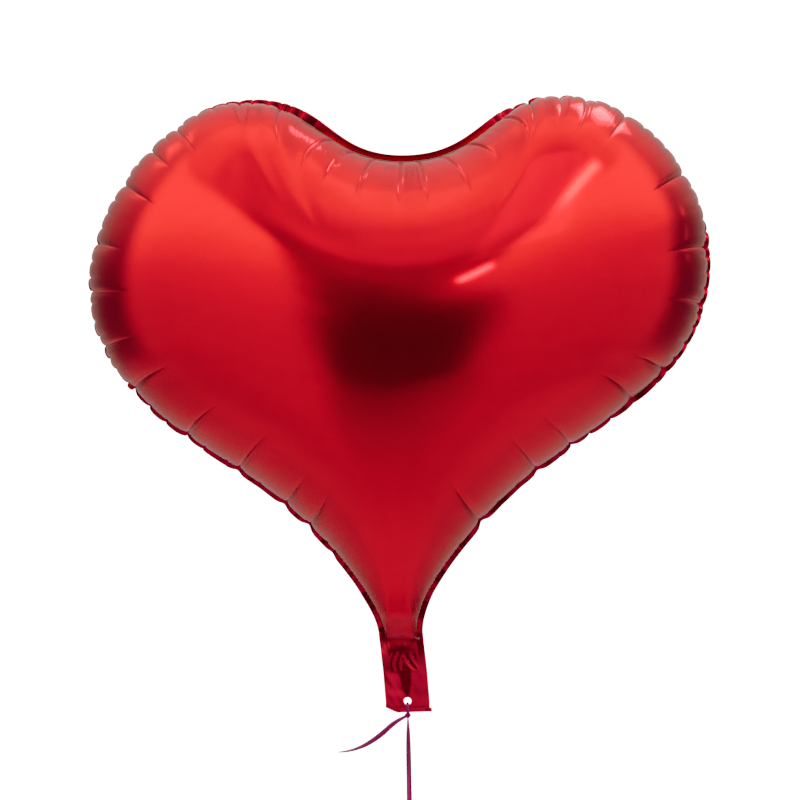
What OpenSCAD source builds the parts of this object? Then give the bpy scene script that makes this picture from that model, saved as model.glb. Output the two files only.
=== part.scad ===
// Heart-shaped foil balloon, inflated, on a flat ribbon.
// Two heart-shaped films are heat-sealed around their edges and filled with gas. The sheets run on
// below the heart as a flat filling tail that holds a self-closing valve of two thinner films.
// The ribbon goes through the punched hole near the tail's end.
// Millimetres. +Z is up, the front faces -Y, and the origin is the centre of the tie hole.
// The films are far thicker here than real foil, so that they can be solids.

/* [Heart] */
// Half of the inflated width, to the cut edge
half_width = 299; // [250:1:320]
// Height of the widest place above the tie hole
widest_z = 411; // [390:1:430]
// Height of the lobe tops
lobe_top_z = 580; // [560:1:600]
// Sideways place of each lobe's top
lobe_top_x = 150; // [140:1:160]
// Height of the bottom of the notch between the lobes
notch_z = 524; // [510:1:540]
// Sideways place where the lower flank turns into the neck's cone
flank_x = 122; // [115:1:130]
// Height of that place
flank_z = 202; // [195:1:210]
// Slope of the flank there, in degrees from level
flank_slope = 39; // [34:1:44]
// Width of the heat seal around the heart
seal_w = 6; // [4:0.5:8]
// Thickness of each outer film
film_t = 0.35; // [0.3:0.05:0.5]

/* [Fullness] */
// Roundness of the body: a larger value is a thicker balloon
body_fullness = 125; // [100:1:140]
// Roundness at the neck
neck_fullness = 38; // [34:1:44]
// Height over which the neck's roundness grows into the body's
fullness_rise = 80; // [60:1:100]

/* [Tail and valve] */
// Width of the flat tail
tail_w = 42; // [40:0.5:46]
// Depth of the tail below the centre of the tie hole
tail_below = 10.6; // [9:0.1:11]
// Height of the crease where the tail bends from the neck
crease_z = 62; // [58:1:66]
// Gap that is kept free on each side of the crease
crease_gap = 0.8; // [0.7:0.1:1.2]
// Radius of the punched tie hole
hole_r = 3.8; // [3.6:0.1:4]
// Width of the two valve films
valve_w = 26; // [24:1:28]
// Height to which the valve reaches inside the balloon
valve_top_z = 185; // [150:1:200]
// Width of a weld line between the valve films
weld_w = 1.2; // [1:0.1:2]

/* [Ribbon] */
// Width of the ribbon
ribbon_w = 5; // [4:0.5:6]
// Thickness of the ribbon
ribbon_t = 0.5; // [0.4:0.1:0.8]
// Width of the ribbon where it is gathered in the tie hole
gathered_w = 3; // [2.5:0.1:3.5]
// Depth of the tie knot below the tie hole's centre
knot_drop = 14; // [14:0.5:16]
// Radius of a knot
knot_r = 2.4; // [2:0.1:2.5]
// Depth of the lower knot, where the ribbon's own loop begins
end_drop = 107; // [104:1:120]
// Radius of the round end of the lower loop
grip_r = 8; // [6:0.5:10]
// Length of the lower loop
grip_len = 26; // [22:1:30]

/* [Hidden] */

foil_red = [0.78, 0.07, 0.11];
seal_red = [0.60, 0.04, 0.08];
valve_red = [0.45, 0.04, 0.07];
ribbon_pink = [0.62, 0.10, 0.33];

// The layers across the seam, from the middle outwards: weld gap, valve film, outer film.
weld_t = 0.05;
valve_t = film_t - weld_t;
heart_base_z = crease_z + crease_gap;
tail_top_z = crease_z - crease_gap;
end_seal_z = -5.5;
edge_points = 12;
rings = 9;
middle = [0, 330];
wall_scale = 0.997;

// Lengths of the outline's handles, which set how tightly each stretch turns.
notch_handle = 75;
lobe_handle = 78;
widest_handle_up = 80;
widest_handle_down = 114;
flank_handle_up = 82;
flank_handle_down = 47;
neck_handle = 41;

// The free end's route, from beside the tie knot.
free_route = [[-2.7, -0.4, -15], [-5.5, -1.6, -16.4], [-9.5, -2.6, -18.4], [-15, -3.4, -22],
              [-20, -4, -26.2], [-25, -4.5, -30.4], [-31, -5, -34.8], [-37, -5, -38.6], [-43, -5, -41.8],
              [-49, -4.5, -44.2], [-55, -4, -46], [-61, -3, -47.2], [-67, -2, -47.8]];
// The ribbon hangs straight from the tie knot to the lower knot.
tether_route = [for (z = [-16.8, -25, -35, -45, -55, -65, -75, -85, -95, -104.8]) [0, 0, z]];
// Turn of the ribbon about its own line, at its two ends: it shows its edge at the tie knot.
free_turn = [20, 80];
tether_turn = [90, 15];
// Width that the ribbon gains at each ring as it spreads from a knot.
spread = 0.5;

// ---- Outline ----

function bezier(p, t) = pow(1 - t, 3) * p[0] + 3 * pow(1 - t, 2) * t * p[1]
    + 3 * (1 - t) * t * t * p[2] + pow(t, 3) * p[3];
function bezier_slope(p, t) = pow(1 - t, 2) * (p[1] - p[0]) + 2 * (1 - t) * t * (p[2] - p[1])
    + t * t * (p[3] - p[2]);

flank_dir = [-cos(flank_slope), -sin(flank_slope)];
notch_p = [0, notch_z];
lobe_p = [lobe_top_x, lobe_top_z];
widest_p = [half_width, widest_z];
flank_p = [flank_x, flank_z];
neck_p = [tail_w / 2, heart_base_z];
stretches = [
    [notch_p, notch_p + [notch_handle, 0], lobe_p - [lobe_handle, 0], lobe_p],
    [lobe_p, lobe_p + [lobe_handle, 0], widest_p + [0, widest_handle_up], widest_p],
    [widest_p, widest_p - [0, widest_handle_down], flank_p - flank_handle_up * flank_dir, flank_p],
    [flank_p, flank_p + flank_handle_down * flank_dir, neck_p + [0, neck_handle], neck_p]
];

// Each entry is a point of the right half's cut edge and the outward direction there.
right_edge = [for (i = [0:3]) for (k = [0:edge_points - 1])
    let (t = k / edge_points, d = bezier_slope(stretches[i], t))
    [bezier(stretches[i], t), [-d[1], d[0]] / norm(d)]];
right_cut = concat([for (e = right_edge) e[0]], [neck_p]);
right_out = concat([for (e = right_edge) e[1]], [[1, 0]]);
right_seam = [for (i = [0:len(right_cut) - 1])
    let (p = right_cut[i] - seal_w * right_out[i])
    [p[0], max(p[1], heart_base_z + 1.5)]];

// Mirrors the right half, without its first point, and closes the base with one middle point.
function whole(right) = concat(right, [[0, right[len(right) - 1][1]]],
    [for (i = [len(right) - 1:-1:1]) [-right[i][0], right[i][1]]]);
cut_edge = whole(right_cut);
seam = whole(right_seam);

// ---- Inflated shape ----

ones = [for (p = seam) 1];
function cross2(a, b) = a[0] * b[1] - a[1] * b[0];
// The integral of 1 / distance squared from p along the piece of seam from a to b.
function nearness(p, a, b) =
    let (u = a - p, v = b - p, c = abs(cross2(u, v)))
    c < 0.001 ? norm(b - a) / (norm(u) * norm(v))
              : atan2(c, u * v) * PI / 180 * norm(b - a) / c;
function fullness(z) = body_fullness - (body_fullness - neck_fullness)
    * exp(-pow((z - crease_z) / fullness_rise, 2));
// Half of the gas space's thickness at p: round across the neck, and a flattened dome on the body.
function swell(p) = sqrt(fullness(p[1]) * PI
    / (ones * [for (i = [0:len(seam) - 1]) nearness(p, seam[i], seam[(i + 1) % len(seam)])]));

function ring_scale(k) = 1 - pow(k / rings, 2);
dome = [for (k = [0:rings - 1]) [for (s = seam)
    let (p = middle + ring_scale(k) * (s - middle)) [p[0], k == 0 ? 0 : swell(p), p[1]]]];
peak = swell(middle);

// ---- Shells and sweeps ----

// A closed solid through rings of points, each end closed by a fan to the given point.
module loft(layers, first, last) {
    n = len(layers[0]);
    m = len(layers);
    points = concat([first], [for (layer = layers) for (p = layer) p], [last]);
    polyhedron(points, concat(
        [for (i = [0:n - 1]) [0, 1 + i, 1 + (i + 1) % n]],
        [for (j = [0:m - 2]) for (i = [0:n - 1])
            let (a = 1 + j * n + i, b = 1 + j * n + (i + 1) % n) [a, a + n, b]],
        [for (j = [0:m - 2]) for (i = [0:n - 1])
            let (a = 1 + j * n + i, b = 1 + j * n + (i + 1) % n) [b, a + n, b + n]],
        [for (i = [0:n - 1]) [1 + m * n, 1 + (m - 1) * n + (i + 1) % n, 1 + (m - 1) * n + i]]));
}

// One foil panel: a thin dome that ends in a flat flange, facing the front.
module panel() {
    inner_y = film_t;
    outer_y = 2 * film_t;
    inside = [for (k = [rings - 1:-1:0]) [for (p = dome[k])
        [wall_scale * p[0], -inner_y - wall_scale * p[1], middle[1] + wall_scale * (p[2] - middle[1])]]];
    flange = [for (y = [inner_y, outer_y]) [for (p = cut_edge) [p[0], -y, p[1]]]];
    outside = [for (layer = dome) [for (p = layer) [p[0], -outer_y - p[1], p[2]]]];
    loft(concat(inside, flange, outside),
         [0, -inner_y - wall_scale * peak, middle[1]], [0, -outer_y - peak, middle[1]]);
}

// A flat piece drawn in X and Z, from depth y0 to depth y1.
module sheet(y0, y1) {
    translate([0, y1, 0]) rotate([90, 0, 0]) linear_extrude(height = y1 - y0) children();
}

module hole() {
    rotate([90, 0, 0]) cylinder(h = 10, r = hole_r, center = true, $fn = 48);
}

module rect(x0, z0, x1, z1) {
    translate([x0, z0]) square([x1 - x0, z1 - z0]);
}

// The pair of weld lines that leaves the valve's channel open between them.
module weld_pair(points) {
    for (side = [-1, 1])
        polygon(concat([for (p = points) [side * p[0], p[1]]],
            [for (i = [len(points) - 1:-1:0]) [side * (points[i][0] + weld_w), points[i][1]]]));
}

// A flat ribbon along a route, with an eight-sided section that turns from one angle to another.
// It starts gathered, as a knot leaves it, and spreads to its full width.
module ribbon(route, turn) {
    n = len(route);
    layers = [for (i = [0:n - 1])
        let (d = route[min(i + 1, n - 1)] - route[max(i - 1, 0)],
             along = d / norm(d),
             side = cross(along, [0, 1, 0]) / norm(cross(along, [0, 1, 0])),
             up = cross(side, along),
             angle = turn[0] + (turn[1] - turn[0]) * i / (n - 1))
        [for (a = [0:45:315])
            let (w = min(ribbon_w, gathered_w + spread * i) / 2 * cos(a), t = ribbon_t / 2 * sin(a))
            route[i] + (w * cos(angle) - t * sin(angle)) * side
                     + (w * sin(angle) + t * cos(angle)) * up]];
    loft(layers, route[0], route[n - 1]);
}

// ---- Balloon ----

module front_panel() { color(foil_red) panel(); }
module back_panel() { color(foil_red) mirror([0, 1, 0]) panel(); }

// The fused band between the two flanges, open at the neck where the valve comes through.
module perimeter_seal() {
    color(seal_red) sheet(-film_t, film_t) difference() {
        polygon(cut_edge);
        polygon(seam);
        rect(-valve_w / 2, heart_base_z - 1, valve_w / 2, heart_base_z + 10);
    }
}

module inner_valve_outline() { rect(-valve_w / 2, heart_base_z, valve_w / 2, valve_top_z); }
module inner_valve_front() { color(valve_red) sheet(-film_t, -weld_t) inner_valve_outline(); }
module inner_valve_back() { color(valve_red) sheet(weld_t, film_t) inner_valve_outline(); }
module inner_valve_welds() {
    color(seal_red) sheet(-weld_t, weld_t)
        weld_pair([[10, heart_base_z], [6, 110], [5, valve_top_z - 10]]);
}

// ---- Tail ----

module tail_outline() { rect(-tail_w / 2, -tail_below, tail_w / 2, tail_top_z); }
module tail_film() { sheet(film_t, 2 * film_t) tail_outline(); }
module tail_front_film() { color(foil_red) difference() { mirror([0, 1, 0]) tail_film(); hole(); } }
module tail_back_film() { color(foil_red) difference() { tail_film(); hole(); } }

module tail_side_seal_right() {
    color(seal_red) sheet(-film_t, film_t) rect(valve_w / 2, -tail_below, tail_w / 2, tail_top_z);
}
module tail_side_seal_left() { mirror([1, 0, 0]) tail_side_seal_right(); }
module tail_end_seal() {
    color(seal_red) sheet(-film_t, film_t) rect(-valve_w / 2, -tail_below, valve_w / 2, end_seal_z);
}

module valve_outline() { rect(-valve_w / 2, end_seal_z, valve_w / 2, tail_top_z); }
module valve_front_film() {
    color(valve_red) difference() { sheet(-film_t, -weld_t) valve_outline(); hole(); }
}
module valve_back_film() {
    color(valve_red) difference() { sheet(weld_t, film_t) valve_outline(); hole(); }
}
module valve_welds() {
    color(seal_red) sheet(-weld_t, weld_t) weld_pair([[2.8, 4.5], [5, 28], [9, 50], [10, tail_top_z]]);
}

// ---- Ribbon ----

// The ribbon's turn through the tie hole and around the tail's end, gathered narrow.
module tie_loop() {
    strand_y = 1.5;
    top_z = -2.6;
    color(ribbon_pink) difference() {
        translate([-gathered_w / 2, -strand_y, -knot_drop + 1])
            cube([gathered_w, 2 * strand_y, knot_drop - 1 + top_z]);
        translate([-gathered_w, -strand_y + 0.4, -knot_drop + 1.4])
            cube([2 * gathered_w, 2 * strand_y - 0.8, knot_drop - 1.8 + top_z]);
    }
}

module knot() { sphere(r = knot_r, $fn = 32); }
module tie_knot() { color(ribbon_pink) translate([0, 0, -knot_drop]) knot(); }
module free_end() { color(ribbon_pink) ribbon(free_route, free_turn); }
module tether() { color(ribbon_pink) ribbon(tether_route, tether_turn); }
module end_knot() { color(ribbon_pink) translate([0, 0, -end_drop]) knot(); }

module grip_outline() {
    neck_r = 1.4;
    hull() {
        translate([0, -end_drop - 2.8 - neck_r]) circle(r = neck_r, $fn = 32);
        translate([0, -end_drop - 2.8 - grip_len + grip_r]) circle(r = grip_r, $fn = 32);
    }
}
module grip_loop() {
    color(ribbon_pink) sheet(-ribbon_w / 2, ribbon_w / 2) difference() {
        grip_outline();
        offset(delta = -ribbon_t) grip_outline();
    }
}

front_panel();
back_panel();
perimeter_seal();
inner_valve_front();
inner_valve_back();
inner_valve_welds();
tail_front_film();
tail_back_film();
tail_side_seal_left();
tail_side_seal_right();
tail_end_seal();
valve_front_film();
valve_back_film();
valve_welds();
tie_loop();
tie_knot();
free_end();
tether();
end_knot();
grip_loop();
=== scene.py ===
"""A heart-shaped foil balloon on a ribbon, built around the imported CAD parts.

The film is a mesh worked out from the same outline and the same swell as the CAD panels, with the pleats,
the sealed edge and the tail's creases added. Shapes are in millimetres, and become metres in new_mesh().
"""

import math

import bpy
import numpy as np
from mathutils import Matrix, Quaternion, Vector, geometry


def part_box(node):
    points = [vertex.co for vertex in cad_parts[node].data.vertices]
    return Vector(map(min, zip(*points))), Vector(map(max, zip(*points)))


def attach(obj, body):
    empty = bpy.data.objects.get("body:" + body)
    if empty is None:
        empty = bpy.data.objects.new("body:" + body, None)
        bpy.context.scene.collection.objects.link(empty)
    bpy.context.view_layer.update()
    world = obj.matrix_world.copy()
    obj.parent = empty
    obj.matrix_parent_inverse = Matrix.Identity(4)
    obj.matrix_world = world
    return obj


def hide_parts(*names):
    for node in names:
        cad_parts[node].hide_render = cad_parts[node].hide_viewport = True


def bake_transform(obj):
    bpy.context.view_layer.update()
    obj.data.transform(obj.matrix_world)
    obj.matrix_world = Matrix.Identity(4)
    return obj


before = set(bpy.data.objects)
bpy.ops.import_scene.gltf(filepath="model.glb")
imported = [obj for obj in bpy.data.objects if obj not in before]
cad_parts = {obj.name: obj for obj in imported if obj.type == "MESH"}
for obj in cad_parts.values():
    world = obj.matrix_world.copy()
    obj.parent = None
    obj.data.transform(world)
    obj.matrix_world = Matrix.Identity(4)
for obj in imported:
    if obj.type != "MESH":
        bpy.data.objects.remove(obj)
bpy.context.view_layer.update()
MM = 0.001

# ---- sizes, from the frame and the CAD source ----


def box_mm(node):
    """The lowest and the highest corner of a CAD node, in millimetres."""
    return [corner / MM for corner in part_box(node)]


front_lo, front_hi = box_mm("front_panel")
tail_lo, tail_hi = box_mm("tail_front_film")
HALF_WIDTH = front_hi.x
LOBE_TOP_Z = front_hi.z
BASE_Z = front_lo.z
TAIL_HALF = tail_hi.x
TAIL_LOW = tail_lo.z
TAIL_HIGH = tail_hi.z
CREASE_Z = (BASE_Z + TAIL_HIGH) / 2
FILM_OUT = -tail_lo.y

# The heart's outline: places it goes through and the lengths of its curves' handles, as in part.scad.
WIDEST_Z = 411
LOBE_TOP_X = 150
NOTCH_Z = 524
FLANK = np.array([122.0, 202.0])
FLANK_SLOPE = math.radians(39)
NOTCH_HANDLE, LOBE_HANDLE, WIDEST_UP, WIDEST_DOWN = 75, 78, 80, 114
FLANK_UP, FLANK_DOWN, NECK_HANDLE = 82, 47, 41
SEAL_W = 6
MIDDLE = np.array([0.0, 330.0])
BODY_FULLNESS, NECK_FULLNESS, FULLNESS_RISE = 125, 38, 80
# The tail's hole, the valve's half width, the outer and inner faces of its films, and its two welds.
HOLE_R = 3.8
VALVE_HALF = 13
VALVE_OUT, WELD_OUT = 0.24, 0.05
WELD_INSET, WELD_HALF = 3.2, 0.6
END_SEAL_Z = -5.5
CHANNEL_TOP_Z = 28
KNOT_Z = -14
KNOT_R = 2.4
END_KNOT_Z = -107
RIBBON_W = 5
RIBBON_T = 0.22
FREE_ROUTE = [[-2.7, -0.4, -15], [-5.5, -1.6, -16.4], [-9.5, -2.6, -18.4], [-15, -3.4, -22],
              [-20, -4, -26.2], [-25, -4.5, -30.4], [-31, -5, -34.8], [-37, -5, -38.6], [-43, -5, -41.8],
              [-49, -4.5, -44.2], [-55, -4, -46], [-61, -3, -47.2], [-67, -2, -47.8]]
TETHER_ROUTE = [[0, 0, z] for z in (-16.8, -25, -35, -45, -55, -65, -75, -85, -95, -104.8)]

rng = np.random.default_rng(7)

# ---- camera ----

# The picture is as wide as VIEW_W millimetres at the balloon's seam, and its middle is at VIEW_X, VIEW_Z.
VIEW_W = 768
VIEW_X, VIEW_Z = -2.3, 289
VIEW_ROLL = math.radians(1.0)
CAMERA_AWAY = 3.2


def make_camera():
    data = bpy.data.cameras.new("camera")
    data.sensor_width = 36
    data.lens = data.sensor_width * CAMERA_AWAY / (VIEW_W * MM)
    camera = bpy.data.objects.new("camera", data)
    bpy.context.scene.collection.objects.link(camera)
    camera.rotation_mode = "QUATERNION"
    camera.location = (VIEW_X * MM, -CAMERA_AWAY, VIEW_Z * MM)
    facing = Vector((0, 1, 0)).to_track_quat("-Z", "Y")
    camera.rotation_quaternion = (Matrix.Rotation(VIEW_ROLL, 3, "Y") @ facing.to_matrix()).to_quaternion()
    bpy.context.scene.camera = camera


make_camera()

# ---- small helpers ----


def smooth(x, low, high):
    """0 below low, 1 above high, and a smooth step between them."""
    t = np.clip((np.asarray(x, float) - low) / (high - low), 0, 1)
    return t * t * (3 - 2 * t)


def window(x, a, b, c, d):
    """1 between b and c, 0 below a and above d, with smooth steps between them."""
    return smooth(x, a, b) * (1 - smooth(x, c, d))


def unit(v):
    return v / np.maximum(np.linalg.norm(v, axis=-1, keepdims=True), 1e-9)


def run_along(lines):
    """The distance along a line, or along each of many lines side by side, from its first point."""
    steps = np.linalg.norm(np.diff(lines, axis=0), axis=-1)
    return np.concatenate([np.zeros_like(steps[:1]), np.cumsum(steps, axis=0)])


def new_mesh(name, points, faces, uv=None):
    """An object from points in millimetres. uv gives each point a place in metres for the film's texture."""
    mesh = bpy.data.meshes.new(name)
    mesh.from_pydata((np.asarray(points, float) * MM).tolist(), [], [list(f) for f in faces])
    mesh.update()
    if uv is not None:
        layer = mesh.uv_layers.new(name="film")
        corner = np.zeros(len(mesh.loops), np.int32)
        mesh.loops.foreach_get("vertex_index", corner)
        layer.data.foreach_set("uv", (np.asarray(uv, float) * MM)[corner].astype(np.float32).ravel())
    mesh.polygons.foreach_set("use_smooth", [True] * len(mesh.polygons))
    obj = bpy.data.objects.new(name, mesh)
    bpy.context.scene.collection.objects.link(obj)
    return obj


def tube_faces(rings, around):
    """Faces of a skin over rings of points, each ring closed on itself, with a lid on each end."""
    faces = [(j * around + i, j * around + (i + 1) % around,
              (j + 1) * around + (i + 1) % around, (j + 1) * around + i)
             for j in range(rings - 1) for i in range(around)]
    faces.append(tuple(range(around))[::-1])
    faces.append(tuple((rings - 1) * around + i for i in range(around)))
    return faces


def in_loops(rows):
    """The points, or uv places, of rows along a skin, in order ring by ring."""
    rows = np.array(rows)
    return rows.transpose(1, 0, 2).reshape(-1, rows.shape[2])


def soft_noise(x, z, size, seed):
    """Smooth random waves of about that size in millimetres, from -1 to 1."""
    waves = np.random.default_rng(seed)
    total = 0
    for _ in range(7):
        angle, phase = waves.uniform(0, 2 * math.pi, 2)
        k = 2 * math.pi / (size * waves.uniform(0.7, 1.5))
        total = total + np.sin(k * (x * math.cos(angle) + z * math.sin(angle)) + phase)
    return total / 4


# ---- outline and swell ----


def bezier(p, t):
    t = t[:, None]
    return ((1 - t) ** 3 * p[0] + 3 * (1 - t) ** 2 * t * p[1] + 3 * (1 - t) * t * t * p[2] + t ** 3 * p[3])


def right_edge(steps=240):
    """The right half's cut edge from the neck up to the notch, and the outward directions there."""
    flank_dir = np.array([-math.cos(FLANK_SLOPE), -math.sin(FLANK_SLOPE)])
    notch, lobe = np.array([0.0, NOTCH_Z]), np.array([LOBE_TOP_X, LOBE_TOP_Z])
    widest, neck = np.array([HALF_WIDTH, WIDEST_Z]), np.array([TAIL_HALF, BASE_Z])
    stretches = [
        [notch, notch + [NOTCH_HANDLE, 0], lobe - [LOBE_HANDLE, 0], lobe],
        [lobe, lobe + [LOBE_HANDLE, 0], widest + [0, WIDEST_UP], widest],
        [widest, widest - [0, WIDEST_DOWN], FLANK - FLANK_UP * flank_dir, FLANK],
        [FLANK, FLANK + FLANK_DOWN * flank_dir, neck + [0, NECK_HANDLE], neck],
    ]
    t = np.arange(steps) / steps
    points = np.vstack([bezier(p, t) for p in stretches] + [neck[None]])
    along = np.gradient(points, axis=0)
    out = unit(np.c_[-along[:, 1], along[:, 0]])
    return points[::-1], out[::-1]


edge_right, out_right = right_edge()
edge_line = np.vstack([edge_right, (edge_right * [-1, 1])[-2::-1]])
out_line = np.vstack([out_right, (out_right * [-1, 1])[-2::-1]])
seam_line = edge_line - SEAL_W * out_line
seam_line[:, 1] = np.maximum(seam_line[:, 1], BASE_Z + 1.5)
seam_s = run_along(seam_line)
SEAM_LENGTH = seam_s[-1]


def along_seam(s, line):
    return np.c_[np.interp(s, seam_s, line[:, 0]), np.interp(s, seam_s, line[:, 1])]


def swell(x, z):
    """Half the gas space's thickness: the same formula as the CAD panel's, on a finer seam."""
    ring = np.vstack([seam_line[::4], seam_line[-1:]])
    a, b = ring, np.roll(ring, -1, axis=0)
    length = np.linalg.norm(b - a, axis=1)
    keep = length > 1e-6
    a, b, length = a[keep], b[keep], length[keep]
    total = np.zeros(x.size)
    px, pz = x.ravel(), z.ravel()
    at_once = 4000
    for start in range(0, px.size, at_once):
        part = slice(start, start + at_once)
        ux, uz = a[:, 0] - px[part, None], a[:, 1] - pz[part, None]
        vx, vz = b[:, 0] - px[part, None], b[:, 1] - pz[part, None]
        cross = np.maximum(np.abs(ux * vz - uz * vx), 1e-6)
        total[part] = (np.arctan2(cross, ux * vx + uz * vz) * length / cross).sum(1)
    at_neck = np.exp(-((pz - CREASE_Z) / FULLNESS_RISE) ** 2)
    fullness = BODY_FULLNESS - (BODY_FULLNESS - NECK_FULLNESS) * at_neck
    return np.sqrt(fullness * math.pi / total).reshape(x.shape)


# ---- puckers along the seam ----


def zone_of(s):
    """Names the stretch of the seam at s: neck, flank, lobe or notch."""
    x, z = along_seam(np.array([s]), seam_line)[0]
    if z < 150:
        return "neck"
    if z < 310:
        return "flank"
    if abs(x) < 110 and z > 480:
        return "notch"
    return "lobe"


# For each zone: the space between puckers, how far a long crease and a short one run over the film, the
# depth of a crease's sharp line and of the broad valley round it, the short ones' share of that depth, how
# far the film bellies out past the seam, and the extra height between two long creases.
ZONE_VALUES = ("pitch", "long", "short", "sharp", "broad", "weak", "belly", "large")
ZONES = {name: dict(zip(ZONE_VALUES, values)) for name, *values in (
    ("neck", (3.2, 4.6), (18, 26), (14, 22), 1.3, 0.2, 0.9, 2.2, 0.0),
    ("flank", (18, 28), (70, 96), (22, 36), 1.6, 1.7, 0.4, 1.2, 0.8),
    ("lobe", (12, 18), (62, 86), (28, 42), 1.9, 2.6, 0.55, 4.1, 0.9),
    ("notch", (9, 16), (60, 92), (26, 40), 3.5, 0.0, 0.12, 0.0, 0.0),
)}
# Where the long creases are, in millimetres along the seam from the neck, up the right and down the left.
LONG_CREASES = [130, 205, 245, 315, 355, 425, 480, 555, 635, 675, 700, 730, 765, 805, 830, 850, 865, 890, 910,
                930, 995, 1035, 1100, 1130, 1170, 1230, 1275, 1330, 1380, 1450, 1510, 1565, 1595, 1630]
# The notch's creases fan out from this place along the seam.
FAN_MIDDLE = 868
# Where a zone's creases start, in millimetres over the film from the seam.
CREASE_START = {"notch": 14.0, "neck": 5.0}


def make_puckers():
    """Each pucker: its place along the seam, its crease's length, strength and slant, and its kind."""
    puckers = []
    ends = [4.0] + LONG_CREASES + [SEAM_LENGTH - 4]
    for first, last in zip(ends, ends[1:]):
        s = first
        while s == first or s < last - 0.6 * ZONES[zone_of(s)]["pitch"][0]:
            zone = ZONES[zone_of(s)]
            is_long = s == first and s > 4
            reach = rng.uniform(*zone["long" if is_long else "short"])
            strength = rng.uniform(0.75, 1.25) * (1 if is_long else zone["weak"])
            fan = np.clip((s - FAN_MIDDLE) / 170, -0.4, 0.4) if zone_of(s) == "notch" else 0
            puckers.append((s, reach, strength, rng.uniform(-0.05, 0.05) + fan, is_long, zone_of(s)))
            s += rng.uniform(*zone["pitch"])
    return puckers


def make_fine_creases():
    """Bundles of faint parallel lines beside some of the long creases: place, first and last run, depth."""
    lines = []
    for place, *_, zone in PUCKERS:
        if zone == "neck" or rng.uniform() > (0.75 if zone == "notch" else 0.3):
            continue
        side = rng.choice([-1, 1])
        for k in range(rng.integers(2, 5)):
            lines.append((place + side * (3.0 + 2.3 * k + rng.uniform(-0.4, 0.4)), rng.uniform(18, 30),
                          rng.uniform(45, 70), rng.uniform(0.15, 0.35)))
    return lines


PUCKERS = make_puckers()
FINE_CREASES = make_fine_creases()
pucker_s = np.array([p[0] for p in PUCKERS])
long_s = np.array([p[0] for p in PUCKERS if p[4]])


def between(s, places):
    """How far s lies from one place to the next, from 0 to 1, and the number of that gap."""
    ends = np.r_[0, places, SEAM_LENGTH]
    gap = np.clip(np.searchsorted(ends, s, side="right") - 1, 0, len(ends) - 2)
    return (s - ends[gap]) / (ends[gap + 1] - ends[gap]), gap


def seam_value(s, name):
    """A zone's value along the seam, smoothed over about 30 mm."""
    grid = np.linspace(0, SEAM_LENGTH, 400)
    values = np.array([ZONES[zone_of(g)][name] for g in grid])
    kernel = np.hanning(15)
    values = np.convolve(np.pad(values, len(kernel) // 2, mode="edge"), kernel / kernel.sum(), mode="valid")
    return np.interp(s, grid, values)


def columns():
    """Places along the seam where the film's ribs start, close together at each crease."""
    near = np.array([-5.6, -4.4, -3.2, -2.2, -1.2, -0.6, 0, 0.6, 1.2, 2.2, 3.2, 4.4, 5.6])
    fine = np.array([f[0] for f in FINE_CREASES])
    spacing, least = 4.2, 0.4
    wanted = np.concatenate([np.linspace(0, SEAM_LENGTH, int(SEAM_LENGTH / spacing)),
                             (pucker_s[:, None] + near).ravel(),
                             (fine[:, None] + np.array([-0.8, 0, 0.8])).ravel()])
    wanted = np.sort(wanted[(wanted >= 0) & (wanted <= SEAM_LENGTH)])
    kept = [0.0]
    for s in wanted[1:]:
        if s - kept[-1] > least:
            kept.append(s)
    kept[-1] = SEAM_LENGTH
    while (len(kept) + BASE_COLUMNS) % 4:
        del kept[len(kept) // 2]
    return np.array(kept)


# Columns over the neck's open base, how far the film sags there, rings from the seam to the middle, and
# the rings at which the columns are halved.
BASE_COLUMNS = 21
BASE_SAG = 5.2
RINGS = 80
HALVE_AT = (36, 52)
column_s = columns()
column_x, column_z = along_seam(column_s, seam_line).T
column_out = unit(along_seam(column_s, out_line))


def with_base(values, fill=0.0):
    """The values of the ribs from the seam, and then fill for each rib from the neck's open base."""
    return np.r_[values, np.full(BASE_COLUMNS, fill)]


def side_lean(z):
    """The filled body hangs a little unevenly: its lower flanks lean one way and its lobes the other."""
    heights = [0, 30, 60, 100, 160, 230, 270, 310, 360, 420, 460, 510, 560, 600]
    shift = [0, -2, -5, -8, -9, -12, -11, -6, -3.5, -0.5, 3, 6, 8, 8]
    return np.interp(z, heights, shift)


def crease_field(s, run):
    """How far the film is drawn in at place s and distance run over the film from the seam."""
    dent = np.zeros(np.broadcast(s, run).shape)
    for place, reach, strength, slant, is_long, zone in PUCKERS:
        off = s - place - slant * run
        here = np.abs(off) < 16
        if not here.any():
            continue
        sharp, broad = ZONES[zone]["sharp"] * strength, ZONES[zone]["broad"] * strength
        start = CREASE_START.get(zone, 0.0)
        fade = np.clip(1 - (run - start) / reach, 0, 1) ** 0.8 * smooth(run, start - 8, start + 8)
        width = 0.75 + 0.006 * run
        line = sharp * fade * np.exp(-np.abs(off) / width)
        if is_long and zone != "notch":
            second = np.clip(1 - (run - start) / (0.8 * reach), 0, 1) * smooth(run, start, start + 12)
            line += 0.7 * sharp * second * np.exp(-np.abs(off - 4.2 * np.sign(slant)) / width)
        spread = 3.8 if is_long else 2.6
        valley = broad * np.clip(1 - run / (0.9 * reach), 0, 1) * np.exp(-(np.abs(off) / spread) ** 1.3)
        dent += np.where(here, line + valley, 0)
    dent *= smooth(run, -0.5, 4)
    for place, first, last, depth in FINE_CREASES:
        fade = smooth(run, first - 6, first + 6) * np.clip((last - run) / (last - first), 0, 1)
        dent += depth * fade * np.exp(-np.abs(s - place) / 0.7)
    return dent


def arch(u):
    """The height of a pillow from crease to crease: rounded, with a sharp valley at each end."""
    return np.clip(1 - np.abs(2 * np.clip(u, 0, 1) - 1) ** 2.2, 0, 1) ** 0.8


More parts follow.
